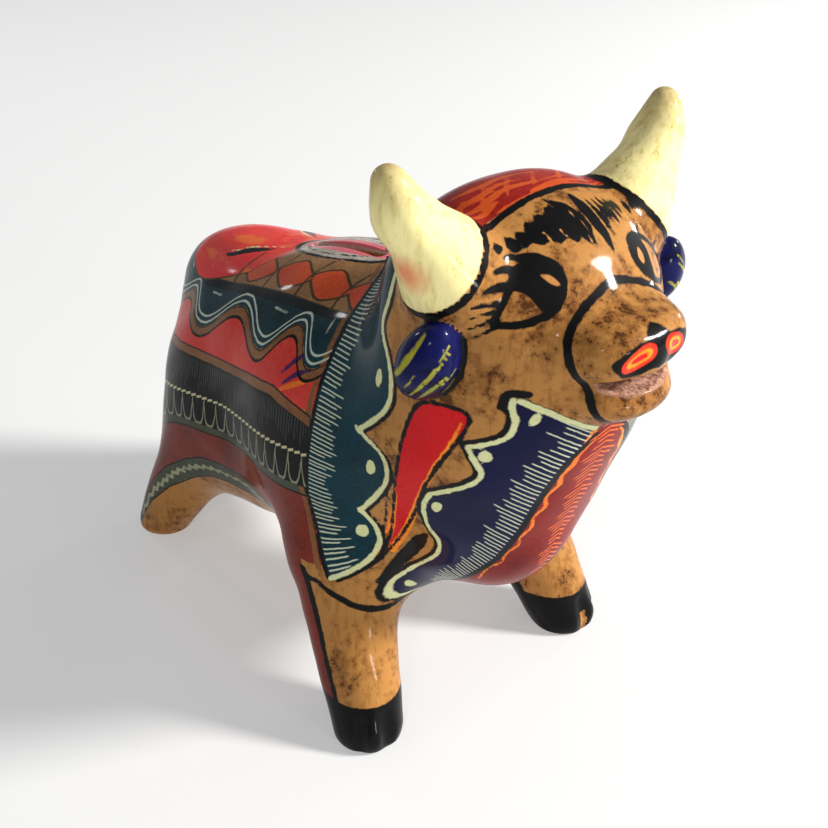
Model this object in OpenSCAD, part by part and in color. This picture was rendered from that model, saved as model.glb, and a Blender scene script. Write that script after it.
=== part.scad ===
// Painted pottery bull coin bank: two press-moulded clay half shells with hand-formed
// legs, horns, ears, muzzle and tail luted on. +Z is up, the bull faces -Y, and the
// origin is on the ground under the middle of the figure.

/* [Body] */
// Half width of the barrel at the flanks
barrel_rx = 41; // [36:0.5:45]
// Half height of the barrel
barrel_rz = 46; // [42:0.5:50]
// Half width of the shoulders
shoulder_rx = 46; // [42:0.5:50]
// Half width of the dewlap between the front legs
dewlap_rx = 29; // [25:0.5:33]
// Thickness of the pressed clay wall
wall = 5; // [4:0.5:6]

/* [Head] */
// Half width of the head between the horns
head_rx = 39; // [35:0.5:42]
// Half width of the muzzle
muzzle_rx = 18; // [16:0.5:20]
// How far the muzzle stands out in front of the face
muzzle_out = 15.3; // [10:0.1:16]
// How deep the mouth is pressed in between the lips
mouth_depth = 3; // [1:0.5:4]

/* [Horns and ears] */
// Radius of a horn where it meets the head
horn_r = 13.5; // [11:0.5:15]
// Height of the horn tips above the ground
horn_top = 188; // [180:1:200]
// Half width of an ear
ear_r = 9; // [7:0.5:10]

/* [Legs] */
// Sideways distance from the middle to a front foot
front_foot_x = 42; // [38:0.5:46]
// Radius of a front hoof
front_hoof_r = 11.5; // [9:0.5:13]
// Sideways distance from the middle to a rear foot
rear_foot_x = 37; // [33:0.5:42]
// Radius of a rear hoof
rear_hoof_r = 9.5; // [8:0.5:12]
// Depth of the cleft in a hoof
cleft = 2.2; // [1:0.1:3]

/* [Coin slot] */
// Length of the coin slot along the back
slot_l = 36; // [30:1:40]
// Width of the coin slot
slot_w = 5.5; // [4.5:0.5:7]

/* [Hidden] */

rump_y = 100.5;         // rear end of the shell
face_y = -88.5;         // front end of the shell
slot_y = 20;            // middle of the coin slot
chin_z = 137;           // height of the middle of the muzzle
lip_z = -2;             // height of the mouth from the middle of the muzzle
hoof_h = 12;            // height of the cleft part of a hoof
smear = 4;              // how far a leg's clay is smeared out where it meets the shell
tail_r = 3;             // radius of the tail cord
bite = 0.3;             // how far a luted piece is pressed into the soft skin of the shell
shell_rings = 40;       // rings from rump to face
half_ring = 24;         // points from the belly seam to the back seam
limb_rows = 12;         // rings along a luted piece
limb_sides = 20;        // points round a luted piece
halvings = 12;          // steps used to find where a line meets the skin

// One lump of clay: [centre, radii, tilt about X, squareness, how softly it joins the ones before]
LUMPS = [
    [[0, 31, 74], [barrel_rx, 61, barrel_rz], -30, 2.4, 0],
    [[0, 69, 90], [22, 32, 23], 0, 2.2, 18],
    [[0, -15, 80], [shoulder_rx, 40, 49], 0, 2.3, 20],
    [[0, -53, 91], [dewlap_rx, 24, 43], -5, 2, 16],
    [[0, -48, 113], [40, 41, 36], -37, 2, 16],
    [[0, -54, 141], [head_rx, 30, 32], 0, 2.2, 12],
    [[0, -65, 135], [28, 24, 29], 0, 2, 14]
];

// About how far a point is from the skin of one lump, negative inside
function lump_d(p, m) =
    let (q = p - m[0],
         y = q.y * cos(m[2]) + q.z * sin(m[2]),
         z = q.z * cos(m[2]) - q.y * sin(m[2]),
         tiny = 1e-6,
         a = [abs(q.x) / m[1].x + tiny, abs(y) / m[1].y + tiny, abs(z) / m[1].z + tiny],
         n = m[3],
         k = pow(pow(a.x, n) + pow(a.y, n) + pow(a.z, n), 1 / n),
         slope = norm([pow(a.x, n - 1) / m[1].x, pow(a.y, n - 1) / m[1].y, pow(a.z, n - 1) / m[1].z]))
    (k - 1) / (slope * pow(k, 1 - n));

// Two lumps pressed together with a fillet of size k
function press(a, b, k) =
    k <= 0 ? min(a, b) :
    let (h = max(k - abs(a - b), 0) / k) min(a, b) - h * h * k / 4;

// About how far a point is from the skin of the hollow body, negative inside
function body_d(p, i = 0, d = 1000) =
    i == len(LUMPS) ? d : body_d(p, i + 1, press(d, lump_d(p, LUMPS[i]), LUMPS[i][4]));

// Distance along a ray from inside the body to where it lies 'depth' under the skin
function reach(p, dir, depth, lo = 0, hi = 90, n = halvings + 2) =
    n == 0 ? (lo + hi) / 2 :
    let (m = (lo + hi) / 2)
    body_d(p + dir * m) > -depth ? reach(p, dir, depth, lo, m, n - 1) : reach(p, dir, depth, m, hi, n - 1);

// Height of the line inside the body that the rings are measured from
function spine_z(y) = y > 0 ? 84 : 84 + 54 * pow(min(-y / 84, 1), 1.6);

// Ring stations run from rump to face, closer together at both ends
function station(i, from, to) = from + (to - from) * (1 - cos(180 * i / (shell_rings - 1))) / 2;

// Half a ring at one station, from the belly seam up to the back seam
function ring(y, depth) =
    [for (j = [0 : half_ring - 1])
        let (a = -90 + 180 * j / (half_ring - 1),
             dir = [j == 0 || j == half_ring - 1 ? 0 : cos(a), 0, sin(a)],
             p = [0, y, spine_z(y)])
        p + dir * reach(p, dir, depth)];

function flat(rings) = [for (r = rings) each r];

function quad(a, b, c, d) = [[a, b, c], [a, c, d]];

// Triangles between two rows of m points that start at a and b in the point list
function strip(a, b, m) = [for (j = [0 : m - 2]) each quad(a + j, a + j + 1, b + j + 1, b + j)];
function strip_inside(a, b, m) = [for (j = [0 : m - 2]) each quad(a + j, b + j, b + j + 1, a + j + 1)];

// Half shell on the +X side: outer skin, lining and the flat faces of the seam
module half_shell() {
    n = shell_rings;
    m = half_ring;
    k = n * m;
    last = k - m;
    outer = [for (i = [0 : n - 1]) ring(station(i, rump_y, face_y), 0)];
    inner = [for (i = [0 : n - 1]) ring(station(i, rump_y - wall, face_y + wall), wall)];
    skin = [for (i = [0 : n - 2]) each strip(i * m, (i + 1) * m, m)];
    lining = [for (i = [0 : n - 2]) each strip_inside(k + i * m, k + (i + 1) * m, m)];
    seam = [for (i = [0 : n - 2]) each concat(
        quad(i * m, (i + 1) * m, k + (i + 1) * m, k + i * m),
        quad(i * m + m - 1, k + i * m + m - 1, k + (i + 1) * m + m - 1, (i + 1) * m + m - 1))];
    rims = concat(
        quad(0, k, k + m - 1, m - 1),
        quad(last, last + m - 1, k + last + m - 1, k + last));
    caps = [for (j = [1 : m - 2]) each [
        [0, j + 1, j], [last, last + j, last + j + 1],
        [k, k + j, k + j + 1], [k + last, k + last + j + 1, k + last + j]]];
    polyhedron(concat(flat(outer), flat(inner)), concat(skin, lining, seam, rims, caps));
}

// Half of a shell with its half of the coin slot, which is cut straight down through the back
module slotted_half() {
    difference() {
        half_shell();
        translate([0, slot_y, 120])
            cube([slot_w, slot_l, 50], center = true);
    }
}

// The point at s, from 0 to 1, along a list of points
function along(pts, s) =
    let (t = s * (len(pts) - 1), i = min(floor(t), len(pts) - 2), f = t - i)
    pts[i] * (1 - f) + pts[i + 1] * f;

// The point at s along column j of a luted piece, q of the way out from its middle line
function column(rows, j, q, mid, s) =
    let (t = s * (len(rows) - 1), i = min(floor(t), len(rows) - 2), f = t - i, c = along(mid, s))
    c + (rows[i][j] * (1 - f) + rows[i + 1][j] * f - c) * q;

// Where along that column the piece meets the shell
function seat(rows, j, q, mid, lo = 0, hi = 1, n = halvings) =
    n == 0 ? (lo + hi) / 2 :
    let (s = (lo + hi) / 2)
    body_d(column(rows, j, q, mid, s)) < -bite ? seat(rows, j, q, mid, lo, s, n - 1)
                                               : seat(rows, j, q, mid, s, hi, n - 1);

// A luted piece: rings from its free end down its middle line, ending on the skin of the shell
module luted(rows, mid, steps = 9) {
    m = len(rows[0]);
    ends = [for (j = [0 : m - 1]) seat(rows, j, 1, mid)];
    side = [for (k = [0 : steps]) [for (j = [0 : m - 1]) column(rows, j, 1, mid, ends[j] * k / steps)]];
    root = [for (q = [2 / 3, 1 / 3]) [for (j = [0 : m - 1]) column(rows, j, q, mid, seat(rows, j, q, mid))]];
    rings = concat(side, root);
    n = len(rings);
    heart = column(rows, 0, 0, mid, seat(rows, 0, 0, mid));
    walls = [for (i = [0 : n - 2], j = [0 : m - 1]) each
        let (a = i * m + j, b = i * m + (j + 1) % m) quad(a, a + m, b + m, b)];
    caps = [for (j = [0 : m - 1]) each
        [[n * m, j, (j + 1) % m], [n * m + 1, (n - 1) * m + (j + 1) % m, (n - 1) * m + j]]];
    polyhedron(concat(flat(rings), [mid[0], heart]), concat(walls, caps));
}

// Level rings from the flat sole on the ground up into the body, with the cleft towards the toe
module leg(foot, root, r_foot, r_root) {
    mid = [for (i = [0 : limb_rows]) foot + (root - foot) * i / limb_rows];
    rows = [for (i = [0 : limb_rows])
        let (c = mid[i], s = i / limb_rows,
             r = r_foot + (r_root - r_foot) * s + smear * min(1, exp(-body_d(c) / 8)),
             sole = i == 0 ? 0.88 : 1)
        [for (j = [0 : limb_sides - 1])
            let (a = 360 * j / limb_sides,
                 notch = c.z < hoof_h ? cleft * exp(-pow((a - 270) / 14, 2)) : 0)
            c + [cos(a), sin(a), 0] * (r * sole - notch)]];
    luted(rows, mid);
}

module front_leg() {
    leg([front_foot_x, -45, 0], [24, -6, 70], front_hoof_r, 15);
}

module rear_leg() {
    leg([rear_foot_x, 86, 0], [14, 46, 84], rear_hoof_r, 19);
}

function tangent(pts, i) =
    let (d = pts[min(i + 1, len(pts) - 1)] - pts[max(i - 1, 0)]) d / norm(d);

// Rings square to a middle line, r[i] across and r[i] * thin the other way
function rings_round(mid, r, thin) =
    [for (i = [0 : len(mid) - 1])
        let (t = tangent(mid, i), v = cross(t, [0, 1, 0]) / norm(cross(t, [0, 1, 0])), w = cross(v, t))
        [for (j = [0 : limb_sides - 1])
            let (a = 360 * j / limb_sides) mid[i] - (v * cos(a) * thin + w * sin(a)) * r[i]]];

// A fat cone that leans out and then turns up, worn round at the tip
module horn() {
    base = [18, -60, 145];
    bend = [42, -61, 170];
    tip = [47.5, -56.5, horn_top - 1];
    mid = [for (i = [0 : limb_rows])
        let (s = 1 - i / limb_rows) base * (1 - s) * (1 - s) + bend * 2 * s * (1 - s) + tip * s * s];
    r = [for (i = [0 : limb_rows])
        let (s = i / limb_rows) max(0.8, horn_r * pow(s, 0.62) + 3.2 * (1 - s) * min(1, s * 6))];
    luted(rings_round(mid, r, 1), mid);
}

// A small drop of clay that hangs out below the horn
module ear() {
    mid = [for (i = [0 : limb_rows])
        let (s = i / limb_rows) [48, -66, 125] * (1 - s) + [33, -62, 152] * s];
    r = [for (i = [0 : limb_rows]) ear_r * sqrt(max(0.02, 1 - pow(2 * i / limb_rows - 0.9, 2)))];
    luted(rings_round(mid, r, 0.72), mid);
}

// The muzzle grows forward from the face, with the mouth pressed in round its front and sides
module muzzle_block() {
    nose = [0, face_y - muzzle_out, chin_z];
    root = [0, -72, chin_z - 3];
    half_h = 14;
    boxy = 0.85;
    sides = 32;
    mid = [for (i = [0 : limb_rows]) nose + (root - nose) * i / limb_rows];
    rows = [for (i = [0 : limb_rows])
        let (s = i / limb_rows, front = 1 - min(1, s / 0.45),
             grow = max(0.02, pow(1 - pow(front, 2.5), 1 / 2.5)) + 0.08 * s)
        [for (j = [0 : sides - 1])
            let (a = 360 * j / sides,
                 e = [muzzle_rx * sign(cos(a)) * pow(abs(cos(a)), boxy), 0,
                      half_h * sign(sin(a)) * pow(abs(sin(a)), boxy)],
                 lips = s < 0.7 ? mouth_depth * exp(-pow((e.z - lip_z) / 2.2, 2)) : 0)
            mid[i] + e * (grow - min(grow / 2, lips / muzzle_rx))]];
    luted(rows, mid);
}

// A thin cord of clay pressed down the rump, with a fuller tuft at its end
module tail_cord() {
    sides = 12;
    turns = 16;
    centre = [0, 62, 78];
    ways = [for (i = [0 : turns])
        let (s = i / turns, a = 24 - 74 * s, d = [0.27 * s * s, cos(a), sin(a)]) d / norm(d)];
    mid = [for (d = ways) centre + d * reach(centre, d, 0)];
    rows = [for (i = [0 : turns])
        let (t = tangent(mid, i), v = cross(t, ways[i]) / norm(cross(t, ways[i])), w = cross(v, t),
             s = i / turns, tuft = 2.4 * exp(-pow((s - 0.88) / 0.09, 2)),
             r = (tail_r - 0.6 * s + tuft) * (i == 0 || i == turns ? 0.5 : 1))
        [for (j = [0 : sides - 1])
            let (a = 360 * j / sides) mid[i] + (v * cos(a) + w * sin(a)) * r]];
    skin = [for (i = [0 : turns - 1], j = [0 : sides - 1]) each
        let (a = i * sides + j, b = i * sides + (j + 1) % sides) quad(a, a + sides, b + sides, b)];
    ends = [[for (j = [0 : sides - 1]) j], [for (j = [1 : sides]) (turns + 1) * sides - j]];
    polyhedron(flat(rows), concat(skin, ends));
}

module on_right() { mirror([1, 0, 0]) children(); }

module right_half_shell() { color("peru") on_right() slotted_half(); }
module left_half_shell() { color("peru") slotted_half(); }
module muzzle() { color("tan") muzzle_block(); }
module right_horn() { color("khaki") on_right() horn(); }
module left_horn() { color("khaki") horn(); }
module right_ear() { color("midnightblue") on_right() ear(); }
module left_ear() { color("midnightblue") ear(); }
module front_right_leg() { color("burlywood") on_right() front_leg(); }
module front_left_leg() { color("burlywood") front_leg(); }
module rear_right_leg() { color("burlywood") on_right() rear_leg(); }
module rear_left_leg() { color("burlywood") rear_leg(); }
module tail() { color("black") tail_cord(); }

right_half_shell();
left_half_shell();
muzzle();
right_horn();
left_horn();
right_ear();
left_ear();
front_right_leg();
front_left_leg();
rear_right_leg();
rear_left_leg();
tail();
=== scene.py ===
# Painted pottery bull: the clay is sculpted as one soft form, cut into the pieces it is
# pressed and luted from, and painted in the shader. Lengths here are in millimetres.
import math
import bpy
import numpy as np
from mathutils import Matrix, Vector


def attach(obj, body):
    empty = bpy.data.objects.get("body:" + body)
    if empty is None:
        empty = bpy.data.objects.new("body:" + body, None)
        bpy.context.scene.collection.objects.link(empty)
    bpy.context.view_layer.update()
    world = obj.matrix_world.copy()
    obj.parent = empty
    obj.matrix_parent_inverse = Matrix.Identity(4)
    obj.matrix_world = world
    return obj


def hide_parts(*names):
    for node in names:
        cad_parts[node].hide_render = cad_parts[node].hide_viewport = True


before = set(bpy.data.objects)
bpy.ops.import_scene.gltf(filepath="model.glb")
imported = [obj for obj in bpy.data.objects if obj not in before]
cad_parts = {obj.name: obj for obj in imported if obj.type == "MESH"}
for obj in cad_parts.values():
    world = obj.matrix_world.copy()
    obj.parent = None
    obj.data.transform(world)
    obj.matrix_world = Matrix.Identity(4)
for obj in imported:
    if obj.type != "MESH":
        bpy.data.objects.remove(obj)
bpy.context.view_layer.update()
mm = 0.001
print("frame loaded", len(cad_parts), "nodes")

# the clay form
clay = {
    "step": 1.0,          # size of the sculpting grid
    "wall": 5.0,          # thickness of the pressed shell
    "handWobble": 0.35,   # how uneven the hand left the surface
    # lumps: middle, half sizes, lean about X, squareness, and how softly it joins the ones before
    "body": [
        [(0, 31, 74), (41, 61, 46), -30, 2.4, 0],
        [(0, 69, 90), (22, 33, 23), 0, 2.2, 18],
        [(0, -15, 80), (46, 40, 49), 0, 2.3, 20],
        [(0, -53, 91), (29, 24, 43), -5, 2.0, 16],
        [(0, -48, 113), (40, 41, 36), -37, 2.1, 16],
        [(0, -54.5, 140.5), (39, 30, 32), -2, 2.2, 12],
        [(0, -65, 135), (28.5, 24, 29.5), 0, 2.0, 14],
    ],
    "nose": [[(0, -87.5, 143), (18, 15.5, 9), -9, 2.5, 8]],
    "jaw": [[(0, -87, 131.5), (16, 13.5, 9.5), 0, 2.2, 4],
            [(0, -94.5, 131), (12.5, 7.5, 4.4), 8, 2.0, 3]],
    # tapered rolls: start, radius, end, radius, softness
    "frontLeg": [[(33.5, -21, 47), 15.5, (42.5, -45, 4), 11, 16]],
    "rearLeg": [[(20.5, 60, 64), 18, (37.5, 85.5, 2), 9.2, 20]],
    "horn": [[(28.5, -60.5, 157), 14, (44.5, -60, 177.5), 5.4, 3.5],
             [(43.5, -56.5, 175.5), 6.0, (46.7, -56.8, 184.3), 4.1, 6]],
    "ear": [[(41, -65.5, 140), (8.8, 7.8, 12.2), 23, 1.75, 2.0]],
    "mouth": [(0, -101, 136.6), (17.5, 10, 2.3), 5, 2.0],
    "nostril": (6.8, -101.5, 143), "nostrilWide": 3.8, "nostrilDeep": 1.5,
    # clefts up the hooves: start, end, half width, depth
    "clefts": [[(43, -58, -2), (42.4, -55, 12), 2.0, 4.6],
               [(52, -53.5, -2), (50.5, -51.5, 11), 1.6, 3.2],
               [(38.5, 96, -2), (37.5, 95, 5), 1.8, 1.2]],
}


def lumpField(p, lump):
    centre, half, lean, power = lump[:4]
    t = math.radians(lean)
    q = p - np.array(centre, np.float32)
    y = q[:, 1] * math.cos(t) + q[:, 2] * math.sin(t)
    z = q[:, 2] * math.cos(t) - q[:, 1] * math.sin(t)
    a = np.stack([np.abs(q[:, 0]) / half[0], np.abs(y) / half[1], np.abs(z) / half[2]], 1) + 1e-6
    if power == 2.0:
        k = np.sqrt((a * a).sum(1))
        slope = np.sqrt(((a / np.array(half)) ** 2).sum(1)) / k
    else:
        k = (a ** power).sum(1) ** (1 / power)
        slope = np.sqrt(((a ** (power - 1) / np.array(half)) ** 2).sum(1)) * k ** (1 - power)
    return (k - 1) / slope


def rollField(p, roll):
    a, r1, b, r2 = np.array(roll[0], float), roll[1], np.array(roll[2], float), roll[3]
    ba = b - a
    l2 = ba @ ba
    rr = r1 - r2
    a2 = l2 - rr * rr
    pa = p - a
    y = pa @ ba
    z = y - l2
    d = pa * l2 - ba * y[:, None]
    x2, y2, z2 = (d * d).sum(1), y * y * l2, z * z * l2
    k = np.sign(rr) * rr * rr * x2
    out = (np.sqrt(np.maximum(x2 * a2 / l2, 0)) + y * rr) / l2 - r1
    out = np.where(np.sign(y) * a2 * y2 < k, np.sqrt(x2 + y2) / l2 - r1, out)
    return np.where(np.sign(z) * a2 * z2 > k, np.sqrt(x2 + z2) / l2 - r2, out)


def softMin(a, b, k):
    if k <= 0:
        return np.minimum(a, b)
    h = np.maximum(k - np.abs(a - b), 0) / k
    return np.minimum(a, b) - h * h * k / 4


def softMax(a, b, k):
    return -softMin(-a, -b, k)


def addPart(field, p, name):
    for item in clay[name]:
        one = rollField(p, item) if isinstance(item[1], (int, float)) else lumpField(p, item)
        field = one if field is None else softMin(field, one, item[-1])
    return field


def handWobble(p):
    # a few slow waves, the same on every run
    w = (np.sin(p[:, 0] * 0.11 + p[:, 2] * 0.13 + 1.0) * np.sin(p[:, 1] * 0.12 + 0.4)
         + 0.6 * np.sin(p[:, 0] * 0.23 - p[:, 1] * 0.19 + 2.1) * np.sin(p[:, 2] * 0.21 + 0.7)
         + 0.3 * np.sin(p[:, 1] * 0.41 + p[:, 2] * 0.37) * np.sin(p[:, 0] * 0.39 + 1.7))
    return w * clay["handWobble"] * 0.6


def grooveCut(p, start, end, width, depth):
    # how far a blunt stick pressed along a line pushes the clay in
    a, b = np.array(start, float), np.array(end, float)
    t = np.clip(((p - a) @ (b - a)) / ((b - a) @ (b - a)), 0, 1)
    d = np.linalg.norm(p - (a + t[:, None] * (b - a)), axis=1)
    return depth * np.exp(-(d / width) ** 2)


def clayField(points, wobble=True):
    # the whole bull, negative inside; the two sides are alike, so |x| does for both
    p = np.array(points, np.float32)
    p[:, 0] = np.abs(p[:, 0])
    f = addPart(None, p, "body")
    for name in ("nose", "jaw", "frontLeg", "rearLeg", "horn", "ear"):
        f = addPart(f, p, name)
    if wobble:
        f = f + handWobble(p)
    f = mouthAndHooves(f, p)
    return softMax(f, -p[:, 2], 1.2)


def mouthAndHooves(f, p):
    x, y, z = p.T
    # the mouth, cut open round the front and the sides of the muzzle
    f = softMax(f, -lumpField(p, clay["mouth"]), 0.8)
    # nostrils, two shallow dimples low on the nose
    a, b, c = clay["nostril"]
    d = np.sqrt((x - a) ** 2 + (y - b) ** 2 + ((z - c) * 1.3) ** 2)
    f = f + clay["nostrilDeep"] * np.exp(-(d / clay["nostrilWide"]) ** 2)
    for start, end, width, depth in clay["clefts"]:
        f = f + grooveCut(p, start, end, width, depth)
    return f


def gradient(p, eps=0.25):
    g = np.empty((len(p), 3))
    for axis in range(3):
        step = np.zeros(3)
        step[axis] = eps
        g[:, axis] = (clayField(p + step) - clayField(p - step)) / (2 * eps)
    return g


def sampleGrid():
    # the grid is worked out only near the skin; x = 0 falls in the middle of a row of cells
    h = clay["step"]
    coarse = 4
    n = [int(math.ceil(2 * 56 / h / coarse)) * coarse, int(math.ceil(2 * 108 / h / coarse)) * coarse,
         int(math.ceil(194 / h / coarse)) * coarse]
    lo = np.array([-n[0] / 2 * h + h / 2, -n[1] / 2 * h, -3.0])
    axes = [lo[i] + h * np.arange(n[i]) for i in range(3)]
    mid = [a.reshape(-1, coarse).mean(1) for a in axes]
    cp = np.stack(np.meshgrid(*mid, indexing="ij"), -1).reshape(-1, 3)
    cf = clayField(cp, False).reshape([len(m) for m in mid])
    near = np.abs(cf) < coarse * h * 1.1 + 4.5
    full = cf.repeat(coarse, 0).repeat(coarse, 1).repeat(coarse, 2).astype(np.float32)
    mask = near.repeat(coarse, 0).repeat(coarse, 1).repeat(coarse, 2)
    idx = np.argwhere(mask)
    full[mask] = clayField(np.stack([axes[i][idx[:, i]] for i in range(3)], 1))
    return full, lo, h


def skinFromGrid(full, lo, h):
    # one vertex in each cell that the skin passes through, one quad across each crossed edge
    inside = full < 0
    s = [slice(None, -1), slice(1, None)]
    count = sum(inside[s[i], :, :][:, s[j], :][:, :, s[k]].astype(np.int8)
                for i in (0, 1) for j in (0, 1) for k in (0, 1))
    active = (count > 0) & (count < 8)
    index = np.full(active.shape, -1, np.int64)
    cells = np.argwhere(active)
    index[active] = np.arange(len(cells))
    total, weight = np.zeros((len(cells), 3)), np.zeros(len(cells))
    for axis in range(3):
        other = [a for a in range(3) if a != axis]
        for da in (0, 1):
            for db in (0, 1):
                c0 = cells.copy()
                c0[:, other[0]] += da
                c0[:, other[1]] += db
                c1 = c0.copy()
                c1[:, axis] += 1
                f0, f1 = full[tuple(c0.T)], full[tuple(c1.T)]
                cross = (f0 < 0) != (f1 < 0)
                t = np.where(cross, f0 / np.where(cross, f0 - f1, 1), 0)
                p = c0.astype(float)
                p[:, axis] += t
                total += np.where(cross[:, None], p, 0)
                weight += cross
    verts = lo + h * total / weight[:, None]
    quads = []
    for axis in range(3):
        a, b = [(1, 2), (2, 0), (0, 1)][axis]
        e0 = [slice(1, -1)] * 3
        e1 = [slice(1, -1)] * 3
        e0[axis], e1[axis] = slice(0, -1), slice(1, None)
        low, high = inside[tuple(e0)], inside[tuple(e1)]
        for flip, hit in ((False, low & ~high), (True, ~low & high)):
            c = np.argwhere(hit)
            c[:, a] += 1
            c[:, b] += 1
            corner = []
            for da, db in ((-1, -1), (0, -1), (0, 0), (-1, 0)):
                q = c.copy()
                q[:, a] += da
                q[:, b] += db
                corner.append(index[tuple(q.T)])
            corner = np.stack(corner, 1)
            quads.append(corner[:, ::-1] if flip else corner)
    return verts, np.concatenate(quads)


full, gridLow, gridStep = sampleGrid()
skin, skinQuads = skinFromGrid(full, gridLow, gridStep)
del full
for turn in range(3):
    g = gradient(skin)
    skin = skin - g * (clayField(skin) / np.maximum((g * g).sum(1), 0.05))[:, None]
    seam = np.abs(skin[:, 0]) < gridStep * 0.5
    skin[seam, 0] = 0
normals = gradient(skin)
normals[skin[:, 0] == 0, 0] = 0
normals /= np.maximum(np.linalg.norm(normals, axis=1), 1e-6)[:, None]
print("skin sculpted", len(skin), "points", skin.min(0).round(1), skin.max(0).round(1))

# cutting the form into its pieces
cut = {
    "slotMiddle": 20.0, "slotLength": 36.0, "slotWidth": 5.5, "slotFloor": 90.0,
    "muzzleY": -86.4, "muzzleZ": 154.4, "muzzleLean": 0.37, "muzzleFloor": 116.0,
    "capDepth": 6.0,      # how far a luted-on piece reaches into the shell
}


def partFields(points):
    # one field for each kind of piece, negative where the piece would be
    p = np.array(points, np.float32)
    p[:, 0] = np.abs(p[:, 0])
    names = ("body", "nose", "jaw", "horn", "ear", "frontLeg", "rearLeg")
    return {name: addPart(None, p, name) for name in names}


def muzzleLine(p):
    # negative in front of the painted ring that the muzzle is luted on at
    return p[:, 1] - cut["muzzleY"] - cut["muzzleLean"] * (p[:, 2] - cut["muzzleZ"])


def slotLine(p):
    # distance to the outline of the coin slot, seen from above
    half = (cut["slotLength"] - cut["slotWidth"]) / 2
    dy = np.maximum(np.abs(p[:, 1] - cut["slotMiddle"]) - half, 0)
    return np.where(p[:, 2] > cut["slotFloor"], np.hypot(p[:, 0], dy) - cut["slotWidth"] / 2, 50.0)


middle = skin[skinQuads].mean(1)
fields = partFields(middle)
rest = np.minimum(np.minimum(fields["body"], fields["nose"]), fields["jaw"])
label = np.zeros(len(middle), np.int64)        # 0 shell, 1 muzzle, 2 horn, 3 ear, 4 front leg, 5 rear leg
label[(muzzleLine(middle) < 0) & (middle[:, 2] > cut["muzzleFloor"])] = 1
for number, name in ((4, "frontLeg"), (5, "rearLeg"), (3, "ear")):
    label[fields[name] < rest] = number
label[(fields["horn"] < rest) & (fields["horn"] < fields["ear"])] = 2
label[slotLine(middle) < 0] = -1
side = np.where(middle[:, 0] < 0, 0, 1)        # 0 the bull's right, 1 its left


def slideTo(line, limit):
    # where the skin's points come to when those near a dividing line slide on to it
    slid = skin.copy()
    d = line(skin)
    near = np.abs(d) < limit
    eps = 0.2
    g = np.stack([(line(skin[near] + e) - line(skin[near] - e)) / (2 * eps) for e in np.eye(3) * eps], 1)
    n = normals[near]
    t = g - n * (g * n).sum(1)[:, None]
    step = -d[near][:, None] * t / np.maximum((t * t).sum(1), 0.1)[:, None]
    step[skin[near][:, 0] == 0, 0] = 0
    slid[near] += step
    return slid


for number, line, floorAt in ((-1, slotLine, cut["slotFloor"]), (1, muzzleLine, cut["muzzleFloor"])):
    within, without = np.zeros(len(skin), bool), np.zeros(len(skin), bool)
    within[skinQuads[label == number]] = True
    without[skinQuads[label != number]] = True
    slid = slideTo(line, gridStep * 1.1)
    onEdge = within & without & (slid[:, 2] > floorAt)
    skin = np.where(onEdge[:, None], slid, skin)
print("skin divided", {n: int((label == n).sum()) for n in range(-1, 6)})

# the painting: what is drawn where
# Every stroke is given on a flat chart of the part of the bull that it is on, in millimetres:
#   face   across (signed, or both sides alike on faceBoth), and up over the brow
#   neck   round the neck from the middle of the chest, and height
#   flank  along the back, and the angle up from the middle of the flank in degrees
#   side   along the bull, and height
#   crown  across, and along;   earFront  across the ear as it faces, and height
far = 9.0       # what a layer holds where it has nothing near, in mm


def flankAngle(p):
    # height angle on the flank; behind y = 60 it carries on round the rump
    x, y, z = p.T
    across = np.hypot(x, np.maximum(y - 60, 0))
    angle = np.degrees(np.arctan2(z - (82 - 0.2 * y), across))
    lift = np.clip((y - 48) / 26, 0, 1) ** 2 * np.clip((14 - angle) / 30, 0, 1)
    return angle + 9 * lift * np.clip((99 - y) / 15, 0, 1)


def flankAlong(p):
    x, y, z = p.T
    return np.where(y < 60, y, 60 + 38 * np.arctan2(np.maximum(y - 60, 0), np.abs(x) + 1e-6))


def chart(name, p):
    x, y, z = p.T
    ax = np.abs(x)
    if name in ("face", "faceBoth", "faceRight"):
        across = {"face": x, "faceBoth": ax, "faceRight": -x}[name]
        return across, 36 * np.arctan2(z - 138, -(y + 48)), (y < -50) & (z > 112)
    if name == "neck":
        return 42 * np.arctan2(ax, -(y + 38)), z, (y < 2) & (z > 26) & (z < 162)
    if name == "flank":
        return flankAlong(p), flankAngle(p), (y > -34) & (z > 8)
    if name == "side":
        return y, z, ax > 14
    if name == "earFront":
        return -0.76 * ax - 0.65 * y - 11.5, z - 140, ax > 14
    return x, y, z > 150        # crown


def smoothLine(points, closed):
    # a soft curve through the points
    p = np.array(points, float)
    n = len(p)
    if n < 3:
        return p
    out = []
    for i in range(n if closed else n - 1):
        a, b, c, d = [p[j % n] if closed else p[min(max(j, 0), n - 1)] for j in (i - 1, i, i + 1, i + 2)]
        for t in np.arange(0, 1, 0.25):
            out.append(0.5 * (2 * b + (c - a) * t + (2 * a - 5 * b + 4 * c - d) * t * t
                              + (3 * b - a - 3 * c + d) * t ** 3))
    if not closed:
        out.append(p[-1])
    return np.array(out)


def strokeDistance(u, v, line, width, closed):
    # distance to the edge of a brush line whose width may taper along it
    best = np.full(len(u), far)
    ends = np.linspace(width[0], width[-1], len(line)) if len(width) < 3 else \
        np.interp(np.linspace(0, 1, len(line)), np.linspace(0, 1, len(width)), width)
    for i in range(len(line) if closed else len(line) - 1):
        j = (i + 1) % len(line)
        a, b = line[i], line[j]
        ab = b - a
        t = np.clip(((u - a[0]) * ab[0] + (v - a[1]) * ab[1]) / max(ab @ ab, 1e-9), 0, 1)
        d = np.hypot(u - a[0] - t * ab[0], v - a[1] - t * ab[1])
        best = np.minimum(best, d - (ends[i] + t * (ends[j] - ends[i])) / 2)
    return best


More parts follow.
